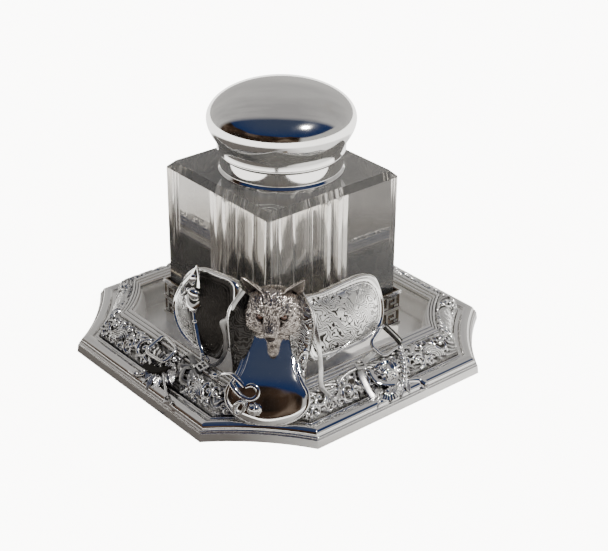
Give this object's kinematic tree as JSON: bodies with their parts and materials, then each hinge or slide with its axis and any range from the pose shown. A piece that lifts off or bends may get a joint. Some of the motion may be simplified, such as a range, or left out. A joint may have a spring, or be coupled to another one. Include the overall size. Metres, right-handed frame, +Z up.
{
  "type": "inkwell",
  "caption": "Square glass ink bottle with a hinged domed lid, standing in a key-pattern gallery on an eight-sided chased silver base with a fox mask and saddle.",
  "frame": {"origin": "centre of the base's underside", "axes": "+Z up, -Y the front where the mask looks out, +X to the right seen from the front"},
  "size_m": [0.1634, 0.1634, 0.1116],
  "materials": {
    "polished_silver": "mirror-polished silver",
    "chased_silver": "chased silver, darkened in the recesses",
    "hinge_silver": "satin silver",
    "gilt_liner": "gilt",
    "bottle_glass": "polished cut glass",
    "eye_stone": "polished brown stone",
    "cement": "matte plaster cement",
    "board_wood": "plain hardwood",
    "baize": "green baize",
    "screw_steel": "plain steel"
  },
  "bodies": {
    "stand": {"foot_band": "polished_silver", "border_moulding": "polished_silver", "relief_bank": "chased_silver", "reeded_frame": "polished_silver", "well_tray": "polished_silver", "base_board": "board_wood", "baize_pad": "baize", "screw_lugs": "polished_silver", "board_screws": "screw_steel", "gallery_wall": "chased_silver", "gallery_top_rail": "polished_silver", "gallery_mid_rail": "polished_silver", "gallery_foot_rail": "polished_silver", "gallery_plinth": "polished_silver", "gallery_fret": "chased_silver", "fox_mask": "chased_silver", "fox_eyes": "eye_stone", "saddle_seat": "polished_silver", "seat_piping": "polished_silver", "saddle_flap_left": "chased_silver", "saddle_flap_right": "chased_silver", "saddle_skirt_left": "chased_silver", "saddle_skirt_right": "chased_silver", "stirrup_leather_left": "polished_silver", "stirrup_leather_right": "polished_silver", "stirrup_left": "polished_silver", "stirrup_right": "polished_silver", "stirrup_buckles": "chased_silver", "riding_crop": "polished_silver", "hunting_cap": "chased_silver", "crop_hook": "polished_silver", "hunting_horn": "chased_silver", "jockey_cap": "chased_silver", "shell_cup": "chased_silver", "whip_handle": "chased_silver", "whip_thong": "polished_silver", "whip_ferrule": "chased_silver", "leaf_spray_left": "chased_silver", "leaf_spray_right": "chased_silver", "mounting_studs": "screw_steel", "mounting_nuts": "screw_steel"},
    "bottle": {"glass_bottle": "bottle_glass", "neck_collar": "polished_silver", "collar_cement": "cement", "hinge_leaf_lower": "hinge_silver", "hinge_pin": "hinge_silver"},
    "lid": {"lid_dome": "polished_silver", "lid_bezel": "polished_silver", "lid_liner": "gilt_liner", "hinge_leaf_upper": "hinge_silver"}
  },
  "joints": [
    {"name": "bottle_lift", "type": "slide", "parent": "stand", "child": "bottle", "axis": [0, 0, 1], "range_m": [0, 0.03]},
    {"name": "lid_hinge", "type": "hinge", "parent": "bottle", "child": "lid", "pos_m": [0, 0.0274, 0.0854], "axis": [-1, 0, 0], "range_deg": [0, 105]}
  ]
}
